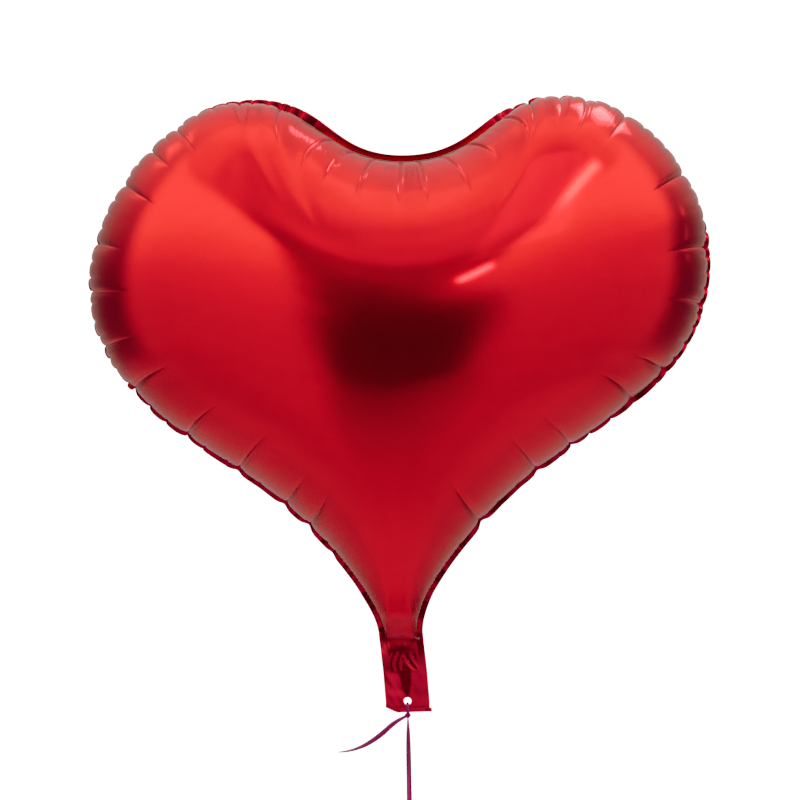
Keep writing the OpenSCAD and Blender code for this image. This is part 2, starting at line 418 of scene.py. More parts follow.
def near_long(s, width):
    """1 at each long crease, falling over about width millimetres along the seam."""
    return np.exp(-(np.abs(s[:, None] - long_s).min(1) / width) ** 2)


def seam_shift(s):
    """How the seam itself is drawn in (first) and waves out of its plane (second) at the puckers."""
    u, gap = between(s, pucker_s)
    broad = seam_value(s, "broad")
    x, z = along_seam(s, seam_line).T
    ends_of_notch = window(np.abs(x), 40, 75, 95, 130) * smooth(z, 460, 490)
    drawn = -0.4 * broad * near_long(s, 6) - 0.12 * broad * (1 - arch(u)) - 2.2 * ends_of_notch
    sign = np.where(gap % 2, 1, -1) * (0.5 + 0.5 * np.sin(gap * 2.4))
    return drawn, 0.5 * broad * arch(u) * sign


def panel_grid():
    """Every point of the front dome: rings inward from the seam, one column for each rib."""
    base_x = np.linspace(seam_line[-1, 0], seam_line[0, 0], BASE_COLUMNS + 2)[1:-1]
    base = np.c_[base_x, np.full(BASE_COLUMNS, seam_line[0, 1])]
    start = np.vstack([np.c_[column_x, column_z], base])
    out = np.vstack([column_out, np.tile([0.0, -1.0], (BASE_COLUMNS, 1))])
    handle = np.where(start[:, 1] > 300, 70, np.clip(0.55 * np.abs(start[:, 0]), 7, 70))
    turn = start - out * handle[:, None]
    across = np.abs(base_x / seam_line[0, 0])
    turn[len(column_s):] = np.c_[0.45 * base_x, seam_line[0, 1] + 8 * (1 - across ** 2)]

    fine = np.linspace(0, 1, 500)[:, None, None]
    ribs = (1 - fine) ** 2 * start + 2 * fine * (1 - fine) * turn + fine ** 2 * MIDDLE
    run = run_along(ribs)
    share = (np.arange(RINGS) / RINGS) ** 1.8
    flat = np.empty((RINGS, len(start), 2))
    for j in range(len(start)):
        for axis in (0, 1):
            flat[:, j, axis] = np.interp(share * run[-1, j], run[:, j], ribs[:, j, axis])
    depth = swell(flat[..., 0], flat[..., 1])
    depth *= 0.3 + 0.7 * smooth(flat[..., 1], BASE_Z + 2, BASE_Z + 25)
    depth[0] = 0
    return flat, depth, out


def dome(flat, depth, out):
    """The pleated front dome as points, with -Y outward, and the middle point of it."""
    grid = np.stack([flat[..., 0], -depth, flat[..., 1]], axis=-1)
    run = run_along(grid)
    ahead, behind = np.roll(grid, -1, axis=1), np.roll(grid, 1, axis=1)
    inward = np.gradient(grid, axis=0)
    normal = unit(np.cross(ahead - behind, inward))
    normal[0] = np.c_[out[:, 0], np.zeros(len(out)), out[:, 1]]
    s = with_base(column_s, -50.0)
    on_seam = with_base(np.ones(len(column_s)))

    u_long, _ = between(column_s, long_s)
    right_side = smooth(column_x, 200, 240) * window(column_z, 262, 300, 430, 470)
    across = np.linspace(-1, 1, BASE_COLUMNS + 2)[1:-1]
    top_left = window(column_x, -165, -140, -95, -65) * smooth(column_z, 520, 550)
    belly = seam_value(column_s, "belly") - 2.0 * right_side - 2.6 * top_left
    belly = with_base(belly, ZONES["neck"]["belly"])
    large = with_base(seam_value(column_s, "large") * arch(u_long))
    end = with_base(np.full(len(column_s), 170.0), 60.0)
    bulge = belly * window(run, 0, 11, 20, end)
    bulge += large * window(run, 0, 11, 20, 70)
    ripple = 0.12 * soft_noise(flat[..., 0], flat[..., 1], 110, 3) * smooth(run, 30, 110)
    lift = bulge + ripple - crease_field(s[None, :], run) * on_seam
    grid = grid + normal * lift[..., None]

    drawn, wave = seam_shift(column_s)
    hold = np.exp(-(run / 9) ** 2)
    pull = with_base(drawn) * hold
    grid[..., 0] += pull * out[:, 0]
    grid[..., 2] += pull * out[:, 1]
    corner = np.exp(-(np.minimum(column_s, SEAM_LENGTH - column_s) / 9) ** 2)
    sag = BASE_SAG * np.r_[0.5 * corner, 1 - 0.5 * across ** 6]
    grid[..., 2] -= sag * np.exp(-(run / 14) ** 2)
    return grid, with_base(wave) * hold


def dome_faces(count):
    """Faces between rings, which halve their columns at the rings in HALVE_AT, and the fan in the middle.
    Gives the faces and, for each ring, the columns that are kept."""
    step, kept, offset, faces, total = 1, [], [], [], 0
    for k in range(RINGS):
        if k in HALVE_AT:
            step *= 2
        kept.append(np.arange(0, count, step))
        offset.append(total)
        total += len(kept[-1])
    for k in range(RINGS - 1):
        n, m = len(kept[k]), len(kept[k + 1])
        a, b = offset[k], offset[k + 1]
        if n == m:
            faces += [(a + i, b + i, b + (i + 1) % m, a + (i + 1) % n) for i in range(n)]
            continue
        for i in range(m):
            first, middle, last = a + 2 * i, a + 2 * i + 1, a + (2 * i + 2) % n
            c, d = b + i, b + (i + 1) % m
            faces += [(first, c, middle), (middle, c, d), (middle, d, last)]
    n, a = len(kept[-1]), offset[-1]
    faces += [(a + i, total, a + (i + 1) % n) for i in range(n)]
    return faces, kept


# ---- foil panels ----


def warp(points):
    """Leans the whole film, as the filled balloon hangs."""
    moved = np.array(points, float)
    moved[:, 0] += side_lean(moved[:, 2])
    return moved


def joined(first, second):
    """Two parts of the film, each as points, faces and uv places, as one leaning skin."""
    count = len(first[0])
    later = [tuple(i + count for i in face) for face in second[1]]
    return warp(np.vstack([first[0], second[0]])), first[1] + later, np.vstack([first[2], second[2]])


grid_flat, grid_depth, grid_out = panel_grid()


def build_panel(sign):
    """Dome points for the front (sign -1) or the back (sign 1), the faces and the uv places."""
    grid, wave = dome(grid_flat, grid_depth, grid_out)
    faces, kept = dome_faces(grid.shape[1])
    grid[..., 1] -= FILM_OUT * 0.5
    grid[..., 1] *= -sign
    grid[..., 1] += wave
    points = np.vstack([grid[k, kept[k]] for k in range(RINGS)])
    uv = np.vstack([grid_flat[k, kept[k]] for k in range(RINGS)])
    peak = -(swell(MIDDLE[:1], MIDDLE[1:])[0] + FILM_OUT * 0.5)
    points = np.vstack([points, [MIDDLE[0], peak * -sign, MIDDLE[1]]])
    uv = np.vstack([uv, MIDDLE])
    if sign < 0:
        faces = [f[::-1] for f in faces]
    return points, faces, uv


def tail_points():
    """Flat places over the tail, with its outline and the punched hole, joined into triangles."""
    low, high = TAIL_LOW, CREASE_Z + 3
    outline = [(-TAIL_HALF, low), (TAIL_HALF, low), (TAIL_HALF, high), (-TAIL_HALF, high)]
    step = 1.0
    rim = []
    for (x0, z0), (x1, z1) in zip(outline, outline[1:] + outline[:1]):
        n = int(round(math.hypot(x1 - x0, z1 - z0) / step))
        rim += [(x0 + (x1 - x0) * i / n, z0 + (z1 - z0) * i / n) for i in range(n)]
    around = 48
    ring = [(HOLE_R * math.cos(2 * math.pi * i / around), HOLE_R * math.sin(2 * math.pi * i / around))
            for i in range(around)]
    inner = [(x, z) for z in np.arange(low + step, high - 0.5, step * 0.87)
             for x in np.arange(-TAIL_HALF + step, TAIL_HALF - 0.5, step) if math.hypot(x, z) > HOLE_R + 0.6]
    verts = [Vector(p) for p in rim + ring + inner]
    edges = [(i, (i + 1) % len(rim)) for i in range(len(rim))]
    edges += [(len(rim) + i, len(rim) + (i + 1) % around) for i in range(around)]
    out_verts, _, faces, _, _, _ = geometry.delaunay_2d_cdt(verts, edges, [], 0, 1e-5)
    flat = np.array([tuple(v) for v in out_verts])
    middle = np.array([flat[list(f)].mean(0) for f in faces])
    faces = [f for f, m in zip(faces, middle) if np.hypot(*m) > HOLE_R * 0.98]
    return flat, faces


tail_flat, tail_faces = tail_points()


def tail_swell(x, z, seed):
    """How far one film of the tail stands out from the middle plane."""
    across = np.clip(1 - (x / (VALVE_HALF + 1)) ** 2, 0, 1)
    top = smooth(z, CREASE_Z - 19, CREASE_Z - 4)
    out = 0.75 + 1.8 * top * across ** 0.6 * (1 - smooth(z, CREASE_Z - 4, CREASE_Z))
    step = smooth(z, CHANNEL_TOP_Z - 0.3, CHANNEL_TOP_Z + 0.5)
    out += 0.16 * step * (1 - smooth(np.abs(x), VALVE_HALF - 1.5, VALVE_HALF + 1)) * (1 - top)
    near = window(z, CHANNEL_TOP_Z, CHANNEL_TOP_Z + 4, CREASE_Z - 20, CREASE_Z - 12)
    bent = x + 0.35 * (z - 44) * np.sign(x) + 2.5 * soft_noise(x, z, 26, seed)
    folds = 1 - np.abs(np.sin(0.5 * bent + 0.8 * np.sin(0.21 * z))) ** 0.7
    out += 0.75 * (folds - 0.45) * near * across ** 0.5
    hang = soft_noise(0.4 * x, 1.8 * z, 20, seed + 1)
    out += 0.16 * hang * smooth(z, CHANNEL_TOP_Z + 8, CHANNEL_TOP_Z + 16) * across
    slant = soft_noise(x + 0.8 * z, 0.3 * (z - x), 9, seed + 2) * (1 - smooth(x, -3, 6))
    out += 0.07 * slant * (1 - near) + 0.04 * soft_noise(x, z, 13, seed + 3)
    out -= 0.18 * (1 - smooth(z, END_SEAL_Z - 0.4, END_SEAL_Z + 0.4))
    merge = smooth(z, CREASE_Z - 16, CREASE_Z)
    return np.maximum(out * (1 - merge) + 0.22 * merge, 0.22 + 0.28 * (1 - merge))


def tail_twist(x, z):
    """The tail turns a little about its own length, apart from a straight wedge under the valve's mouth."""
    half = 1.5 + 3.4 * np.clip(z / CHANNEL_TOP_Z, 0, 1)
    half *= window(z, HOLE_R, HOLE_R + 8, CHANNEL_TOP_Z - 2, CHANNEL_TOP_Z + 9)
    beyond = np.sign(x) * (np.sqrt(np.maximum(np.abs(x) - half, 0) ** 2 + 0.6) - 0.77)
    return 0.14 * beyond * (1 - smooth(z, CREASE_Z - 22, CREASE_Z))


# The tail's folded left corner and its curled right corner: where each starts, which way it goes, its
# radius in millimetres and how far it turns in radians.
TAIL_FOLDS = (((-11.0, -8.6), (-0.43, -0.90), 1.1, 2.6), ((20.2, -9.0), (0.93, -0.37), 0.7, 1.9))


def tail_plane(x, z):
    """The middle plane of the tail: flat but for its folded left corner and its curled right corner."""
    points = np.stack([x, tail_twist(x, z), z], axis=-1)
    normal = np.tile([0.0, -1.0, 0.0], (len(x), 1))
    for origin, direction, radius, most in TAIL_FOLDS:
        away = np.array(direction) / np.hypot(*direction)
        beyond = np.maximum((x - origin[0]) * away[0] + (z - origin[1]) * away[1], 0)
        angle = np.minimum(beyond / radius, most)
        flat_part = radius * np.sin(angle) + (beyond - angle * radius) * np.cos(angle)
        back = radius * (1 - np.cos(angle)) + (beyond - angle * radius) * np.sin(angle)
        points[:, 0] += away[0] * (flat_part - beyond)
        points[:, 2] += away[1] * (flat_part - beyond)
        points[:, 1] += back
        turned = beyond > 0
        normal[turned] = np.c_[away[0] * np.sin(angle), -np.cos(angle), away[1] * np.sin(angle)][turned]
    points[:, 0] += 1.8 * smooth(x, 16.5, 20.5) * (1 - smooth(z, -7.6, -6.6))
    return points, normal


def build_tail(sign, seed):
    x, z = tail_flat[:, 0], tail_flat[:, 1]
    middle, normal = tail_plane(x, z)
    points = middle + normal * (-sign * tail_swell(x, z, seed))[:, None]
    faces = tail_faces if sign < 0 else [f[::-1] for f in tail_faces]
    return points, faces, tail_flat


def foil_piece(name, sign, seed, foil, nodes):
    """One sheet of foil: its dome and its half of the tail, which bends at the neck's crease."""
    piece = new_mesh(name, *joined(build_panel(sign), build_tail(sign, seed)))
    piece.data.materials.append(foil)
    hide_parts(*nodes)
    return piece


# ---- the sealed edge ----


def flange_tilt(s):
    """How the sealed edge tips back from the seam's plane, in radians: at its root and at its cut edge.
    The puckers press it back, and midway between them it stands out."""
    x, z = along_seam(s, seam_line).T
    u, gap = between(s, pucker_s)
    pressed = 1 - arch(u)
    lobe = smooth(z, 225, 265)
    top_left = window(x, -205, -185, -85, -65) * smooth(z, 520, 550)
    right_side = smooth(x, 180, 215) * window(z, 262, 288, 430, 455)
    shown = np.clip(top_left + right_side, 0, 1)
    uneven = 0.5 + 0.5 * np.sin(gap * 2.4)
    hidden = np.where(x < 0, 0.25, 0.35) + 0.5 * uneven + 0.5 * pressed
    pointed = -0.06 + 0.5 * pressed
    flank = 0.12 + 0.8 * near_long(s, 7) + 0.12 * np.sin(s / 9)
    notch = (1 - smooth(np.abs(x), 75, 115)) * smooth(z, 440, 470)
    neck = 1 - smooth(z, 110, 160)
    tilt = lobe * (hidden * (1 - shown) + pointed * shown) + (1 - lobe) * flank
    tilt = tilt * (1 - neck) + neck * (0.12 + 0.1 * np.sin(s / 6))
    forward = notch * (0.19 + 0.13 * np.exp(-(x / 45) ** 2))
    return tilt * (1 - notch) - forward, tilt * (1 - notch) - 0.9 * forward


def seal_band():
    """The heat-sealed edge: a thin strip outward from the seam, around the heart and a little way down
    behind the tail's films."""
    s, x, z = column_s, column_x, column_z
    drawn, wave = seam_shift(s)
    seam = np.c_[x, z] + drawn[:, None] * column_out
    width = np.linalg.norm(along_seam(s, edge_line) - along_seam(s, seam_line), axis=1)
    width = width - np.minimum(drawn, 0) * smooth(seam[:, 1], 440, 470) * (np.abs(seam[:, 0]) < 140)
    root, edge = flange_tilt(s)
    calm = 1 - (1 - smooth(np.abs(x), 90, 130)) * smooth(z, 440, 470)
    rows = []
    half_t, below, inward = 0.16, 7, -0.15
    across = (0, 0.15, 0.4, 0.7, 0.85, 1.0)
    sheet, reach, back = {inward: (inward * width, 0.0)}, 0.0, 0.0
    for last, v in zip((0,) + across, across):
        tilt = root + (edge - root) * smooth(0.5 * (last + v), 0.6, 0.95)
        reach = reach + width * (v - last) * np.cos(tilt)
        back = back + width * (v - last) * np.sin(tilt)
        sheet[v] = reach, back
    across = (inward,) + across
    for side, shares in ((-1, across), (1, across[::-1])):
        for v in shares:
            reach, back = sheet[v]
            ripple = 0.2 * v * calm * np.sin(s * 0.5 + 2 * np.sin(s * 0.11))
            flat = seam + column_out * reach[:, None]
            rows.append(np.c_[flat[:, 0], wave + back + ripple + side * half_t, flat[:, 1]])
    grid = np.array(rows)
    ends = grid[:, [0, -1]] - [0, 0, below]
    grid = np.concatenate([ends[:, :1], grid, ends[:, 1:]], axis=1)
    s = np.r_[s[0] - below, s, s[-1] + below]
    uv = np.repeat(np.c_[s, np.zeros(len(s))], len(rows), axis=0)
    uv[:, 1] = np.tile(np.r_[across, across[::-1]] * SEAL_W, len(s))
    return in_loops(grid), tube_faces(len(s), len(rows)), uv


def tail_seals():
    """The tail's side and end seals: a thin strip along its edges, between the films. It shows at the rim."""
    step = 1.0
    x0, x1, low, high = -TAIL_HALF, TAIL_HALF, TAIL_LOW, CREASE_Z + 4
    line = [(x0, z) for z in np.arange(high, low, -step)] + [(x, low) for x in np.arange(x0, x1, step)]
    line = np.array(line + [(x1, z) for z in np.arange(low, high, step)])
    inner = line.copy()
    inner[:, 0] = np.clip(line[:, 0], x0 + 2, x1 - 2)
    inner[:, 1] = np.maximum(line[:, 1], low + 2)
    rings = []
    for flat, y in ((line, -0.5), (line, 0.5), (inner, 0.35), (inner, -0.35)):
        middle, normal = tail_plane(flat[:, 0], flat[:, 1])
        rings.append(middle - normal * y)
    return in_loops(rings), tube_faces(len(line), 4), np.repeat(line, 4, axis=0)


def valve_piece(name, body, nodes, low, high, bend, material_used):
    """The two thin valve films from one height to another, with the two weld lines that join them."""
    points, faces, uv = [], [], []

    def slab(x0, x1, z0, z1, y0, y1):
        across = np.linspace(x0, x1, max(2, int((x1 - x0) / 2) + 1))
        loop = [(x, y0) for x in across] + [(x, y1) for x in across[::-1]]
        heights = np.linspace(z0, z1, 34)
        x, y, z = np.array([(x, y, z) for z in heights for x, y in loop]).T
        first = sum(len(p) for p in points)
        faces.extend(tuple(first + i for i in face) for face in tube_faces(len(heights), len(loop)))
        points.append(bend(x, y, z))
        uv.append(np.c_[x, z])

    slab(-VALVE_HALF, VALVE_HALF, low, high, -VALVE_OUT, -WELD_OUT)
    slab(-VALVE_HALF, VALVE_HALF, low, high, WELD_OUT, VALVE_OUT)
    for side in (-1, 1):
        at = side * (VALVE_HALF - WELD_INSET)
        slab(at - WELD_HALF, at + WELD_HALF, low + 1, high - 1, -0.06, 0.06)
    piece = new_mesh(name, np.vstack(points), faces, np.vstack(uv))
    piece.data.materials.append(material_used)
    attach(piece, body)
    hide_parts(*nodes)


def build_valve():
    """The valve: its upper half stands in the neck's gas space, its lower half lies in the tail."""
    film = valve_material()
    valve_piece("tail_valve", "tail", ("valve_front_film", "valve_back_film", "valve_welds"), HOLE_R + 0.6,
                box_mm("valve_front_film")[1].z, lambda x, y, z: np.c_[x, tail_twist(x, z) + y, z], film)
    low, high = (corner.z for corner in box_mm("inner_valve_front"))
    valve_piece("neck_valve", "envelope", ("inner_valve_front", "inner_valve_back", "inner_valve_welds"),
                low, high, lambda x, y, z: warp(np.c_[x, y, z]), film)


# ---- materials ----


def add_node(tree, kind, inputs=(), **settings):
    """A new shader node. Each of its inputs gets a fixed value or another node's output."""
    made = tree.nodes.new("ShaderNode" + kind)
    for key, value in settings.items():
        setattr(made, key, value)
    for socket, value in dict(inputs).items():
        if isinstance(value, bpy.types.NodeSocket):
            tree.links.new(value, made.inputs[socket])
        else:
            made.inputs[socket].default_value = value
    return made


def texture_noise(tree, vector, scale, detail=3, stretch=(1, 1, 1)):
    mapping = add_node(tree, "Mapping", {"Vector": vector, "Scale": stretch})
    return add_node(tree, "TexNoise", {"Vector": mapping.outputs["Vector"], "Scale": scale,
                                       "Detail": detail}).outputs["Fac"]


def ranged(tree, value, low, high, from_low=0.3, from_high=0.7):
    return add_node(tree, "MapRange", {"Value": value, "From Min": from_low, "From Max": from_high,
                                       "To Min": low, "To Max": high}).outputs["Result"]


def mix_colours(tree, factor, first, second):
    """first where factor is 0 and second where it is 1. Each is a colour or another node's output."""
    first, second = ((*colour, 1) if isinstance(colour, tuple) else colour for colour in (first, second))
    mix = add_node(tree, "Mix", {"Factor": factor, "A": first, "B": second}, data_type="RGBA")
    return mix.outputs["Result"]


def film_uv(tree):
    return add_node(tree, "UVMap", uv_map="film").outputs["UV"]


def material(name, colour, metallic, roughness, **sockets):
    """A Principled material, with its node tree and its shader."""
    made = bpy.data.materials.new(name)
    made.use_nodes = True
    shader = made.node_tree.nodes["Principled BSDF"]
    sockets.update(Base_Color=(*colour, 1), Metallic=metallic, Roughness=roughness)
    for socket, value in sockets.items():
        shader.inputs[socket.replace("_", " ")].default_value = value
    return made, made.node_tree, shader


def dress(tree, shader, colour, roughness, *bumps):
    """Links a material's colour and roughness, and its bumps, each (height, distance in metres, strength)."""
    tree.links.new(colour, shader.inputs["Base Color"])
    tree.links.new(roughness, shader.inputs["Roughness"])
    before = {}
    for height, distance, strength in bumps:
        settings = {"Height": height, "Distance": distance, "Strength": strength}
        before = {"Normal": add_node(tree, "Bump", {**settings, **before}).outputs["Normal"]}
    tree.links.new(before["Normal"], shader.inputs["Normal"])


def foil_material():
    """Red lacquered metal film: satin, with faint rolling lines and a slightly uneven gloss. The tail is
    duller and more handled, its colour darker overall, and darker still above the valve's mouth: painted
    shade."""
    made, tree, shader = material("red_foil", (0.86, 0.014, 0.026), 1.0, 0.12, Coat_Weight=0.4,
                                  Coat_Roughness=0.12, Specular_Tint=(1.0, 0.7, 0.7, 1.0), Sheen_Weight=0.45,
                                  Sheen_Roughness=0.4, Sheen_Tint=(1.0, 0.75, 0.7, 1.0))
    uv = film_uv(tree)
    height = add_node(tree, "SeparateXYZ", {0: uv}).outputs["Y"]

    def above(z, below, over):
        """Goes from 0 to 1 between below and over millimetres from height z."""
        return ranged(tree, height, 0.0, 1.0, (z + below) * MM, (z + over) * MM)

    uneven = ranged(tree, texture_noise(tree, uv, 14, 3), 0.105, 0.14)
    handled = ranged(tree, height, 0.09, 0.0, (CREASE_Z - 2) * MM, (CREASE_Z + 4) * MM)
    body = mix_colours(tree, texture_noise(tree, uv, 60, 4), (0.83, 0.013, 0.017), (0.89, 0.017, 0.023))
    mottle = texture_noise(tree, uv, 120, 4)
    # Tail colours: darker than the body's, and darker still above the valve's mouth, which is painted shade.
    tail = mix_colours(tree, above(CHANNEL_TOP_Z, -2, 2),
                       mix_colours(tree, mottle, (0.62, 0.012, 0.028), (0.72, 0.016, 0.036)),
                       mix_colours(tree, mottle, (0.36, 0.007, 0.014), (0.54, 0.010, 0.022)))
    dress(tree, shader, mix_colours(tree, above(CREASE_Z, -4, 30), tail, body),
          add_node(tree, "Math", {0: uneven, 1: handled}).outputs[0],
          (texture_noise(tree, uv, 500, 2, (1, 0.02, 1)), 0.00002, 0.5),
          (texture_noise(tree, uv, 1500, 2), 0.00003, 0.5))
    return made


def seal_material():
    """The fused edge: the same film, pressed flat, with the sealing bar's fine cross lines."""
    made, tree, shader = material("heat_seal", (0.7, 0.01, 0.02), 1.0, 0.2, Coat_Weight=0.2,
                                  Coat_Roughness=0.1, Specular_Tint=(1.0, 0.4, 0.4, 1.0))
    uv = film_uv(tree)
    lines = add_node(tree, "TexWave", {"Scale": 380, "Distortion": 1.5, "Vector": uv}).outputs["Fac"]
    dress(tree, shader,
          mix_colours(tree, texture_noise(tree, uv, 90, 4), (0.30, 0.004, 0.013), (0.48, 0.008, 0.020)),
          ranged(tree, texture_noise(tree, uv, 40, 2), 0.14, 0.24), (lines, 0.00002, 0.15))
    return made


def valve_material():
    """Thin, clear-coated inner film."""
    made, tree, shader = material("valve_film", (0.32, 0.015, 0.04), 0.0, 0.3)
    coords = add_node(tree, "TexCoord").outputs["Object"]
    haze = texture_noise(tree, coords, 120, 3)
    dress(tree, shader, mix_colours(tree, haze, (0.26, 0.01, 0.03), (0.38, 0.02, 0.05)),
          ranged(tree, haze, 0.22, 0.42), (texture_noise(tree, coords, 700, 2), 0.00004, 0.4))
    return made


def ribbon_material():
    """Satin curling ribbon: lengthwise ribs, with painted highlight stripes along them, and a soft sheen."""
    made, tree, shader = material("ribbon_satin", (0.34, 0.015, 0.10), 0.35, 0.28,
                                  Sheen_Weight=0.25, Sheen_Roughness=0.4, Sheen_Tint=(1.0, 0.55, 0.8, 1))
    uv = film_uv(tree)
    ribs = texture_noise(tree, uv, 700, 3, (0.03, 1, 1))
    # The ribs also pick the colour, dark or light: painted highlight stripes over the real ribbing of the
    # bump.
    share = ranged(tree, ribs, 0.0, 1.0, 0.38, 0.62)
    dress(tree, shader, mix_colours(tree, share, (0.12, 0.003, 0.03), (0.46, 0.025, 0.15)),
          ranged(tree, texture_noise(tree, uv, 150, 2), 0.28, 0.42), (ribs, 0.00006, 0.6))
    return made


# ---- ribbon ----


def smooth_route(route, step=0.7):
    """The route's points joined by one smooth curve, as points about step millimetres apart."""
    p = np.array(route, float)
    p = np.vstack([2 * p[0] - p[1], p, 2 * p[-1] - p[-2]])
    dense = []
    for i in range(1, len(p) - 2):
        n = max(2, int(np.linalg.norm(p[i + 1] - p[i]) / step))
        t = (np.arange(n) / n)[:, None]
        a, b, c, d = p[i - 1], p[i], p[i + 1], p[i + 2]
        dense.append(0.5 * (2 * b + (c - a) * t + (2 * a - 5 * b + 4 * c - d) * t ** 2
                            + (3 * b - a - 3 * c + d) * t ** 3))
    return np.vstack(dense + [p[-2][None]])


def ribbon_strip(name, route, width, turn, material_used, cup=0.0, thickness=RIBBON_T):
    """A flat ribbon along a route. width and turn (degrees) are given at even shares of its length."""
    line = smooth_route(route)
    along = unit(np.gradient(line, axis=0))
    reference = np.tile([0.0, 1.0, 0.0], (len(line), 1))
    steep = np.abs((along * reference).sum(1)) > 0.95
    reference[steep] = [1.0, 0.0, 0.0]
    side = unit(np.cross(along, reference))
    up = np.cross(side, along)
    share = np.linspace(0, 1, len(line))
    w = np.interp(share, np.linspace(0, 1, len(width)), width)
    angle = np.radians(np.interp(share, np.linspace(0, 1, len(turn)), turn))
    flat = side * np.cos(angle)[:, None] + up * np.sin(angle)[:, None]
    face = -side * np.sin(angle)[:, None] + up * np.cos(angle)[:, None]
    steps = np.linspace(-0.5, 0.5, 9)
    loop = [(v, 0.5) for v in steps] + [(v, -0.5) for v in steps[::-1]]
    rings, uv = [], []
    run = run_along(line)
    for v, t in loop:
        bow = cup * (0.25 - v * v)
        rings.append(line + flat * (v * w)[:, None] + face * (t * thickness + bow * w)[:, None])
        uv.append(np.c_[run, np.full(len(run), v * RIBBON_W)])
    piece = new_mesh(name, in_loops(rings), tube_faces(len(line), len(loop)), in_loops(uv))
    piece.data.materials.append(material_used)
    return piece, line


def knot_route(z, size):
    """An overhand knot drawn tight, as a closed trefoil squeezed to the given radius."""
    t = np.linspace(0, 2 * math.pi, 40, endpoint=False)
    x = np.sin(t) + 2 * np.sin(2 * t)
    y = -np.sin(3 * t)
    zz = np.cos(t) - 2 * np.cos(2 * t)
    return np.c_[x * size / 3.0, y * size / 2.2, z + zz * size / 3.6].tolist()


def build_ribbon():
    satin = ribbon_material()

    def part(name, body, node, route, width, turn, **settings):
        piece, line = ribbon_strip(name, route, width, turn, satin, **settings)
        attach(piece, body)
        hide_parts(node)
        return piece, line

    def knot(name, body, node, z):
        return part(name, body, node, knot_route(z, KNOT_R - 0.5), [2.0, 2.4, 1.8, 2.4, 2.0],
                    [0, 120, 240, 360], cup=0.3, thickness=0.7)[0]

    tether, tether_line = part("ribbon_tether", "tether", "tether", [[0, 0, KNOT_Z - 0.8]] + TETHER_ROUTE,
                               [2.0, 4.4, 5, 5, 5, 5, 5, 5], [68, 44, 33, 28, 26, 24, 22], cup=0.45)
    free, free_line = part("ribbon_free_end", "free_end", "free_end", [[-0.9, 0.1, -14.3]] + FREE_ROUTE,
                           [2.4, 4.4, 5, 5, 5, 4.6], [10, 14, 20, 36, 58, 76], cup=0.2)

    strand = 1.55
    hole_bar = -2.9
    loop_route = [[0, 0.4, KNOT_Z + 0.6], [0.1, -1.1, KNOT_Z + 2.0], [0.1, -strand, KNOT_Z + 4],
                  [0.0, -strand, -7.5], [0.0, -strand, -4.6], [0, -1.0, hole_bar], [0, 0, hole_bar + 0.3],
                  [0, 1.0, hole_bar], [0, strand, -4.6], [0, strand, -7.5], [0.1, strand, KNOT_Z + 4],
                  [0.1, 1.1, KNOT_Z + 2.0], [0, -0.2, KNOT_Z + 0.4]]
    part("ribbon_tie_loop", "tie", "tie_loop", loop_route, [3.0, 3.2, 3.0, 3.2, 3.0], [0], cup=0.25)
    knot("ribbon_tie_knot", "tie", "tie_knot", KNOT_Z)
    end_knot = knot("ribbon_end_knot", "tether", "end_knot", END_KNOT_Z)

    lo, hi = box_mm("grip_loop")
    half = (hi.x - lo.x) / 2 - 0.3
    top, low = hi.z + 2.2, lo.z + 0.3
    middle = low + half
    right_side = [[0.3, 0, top], [1.0, 0, hi.z - 1], [half * 0.55, 0, hi.z - 6],
                  [half * 0.92, 0, middle + 5], [half, 0, middle], [half * 0.7, 0, middle - half * 0.7]]
    left_side = [[-x, y, z] for x, y, z in right_side[::-1]]
    grip, _ = part("ribbon_grip_loop", "grip", "grip_loop", right_side + [[0, 0, low]] + left_side,
                   [3.4, 4.9, 5, 4.9, 3.4], [90, 58, 78, 122, 90], cup=0.2, thickness=0.4)


# ---- light and floor ----

# The floor's height and half width in metres, and how bright the plain background is to the camera.
FLOOR_Z, FLOOR_HALF = -0.46, 2.2
WHITE = 1.6
# Each lamp: where it is (azimuth, elevation), how wide and tall it is, how far it is turned, how soft its
# edge is, all in degrees, and how bright it is.
LAMPS = (((-108, 50), (14, 9), 0, 5, 2.0), ((20, 38), (2.4, 21), 54, 2.4, 13.0),
         ((95, 19), (6, 6), 0, 3, 0.8), ((95, 5), (5, 5), 0, 3, 0.5))


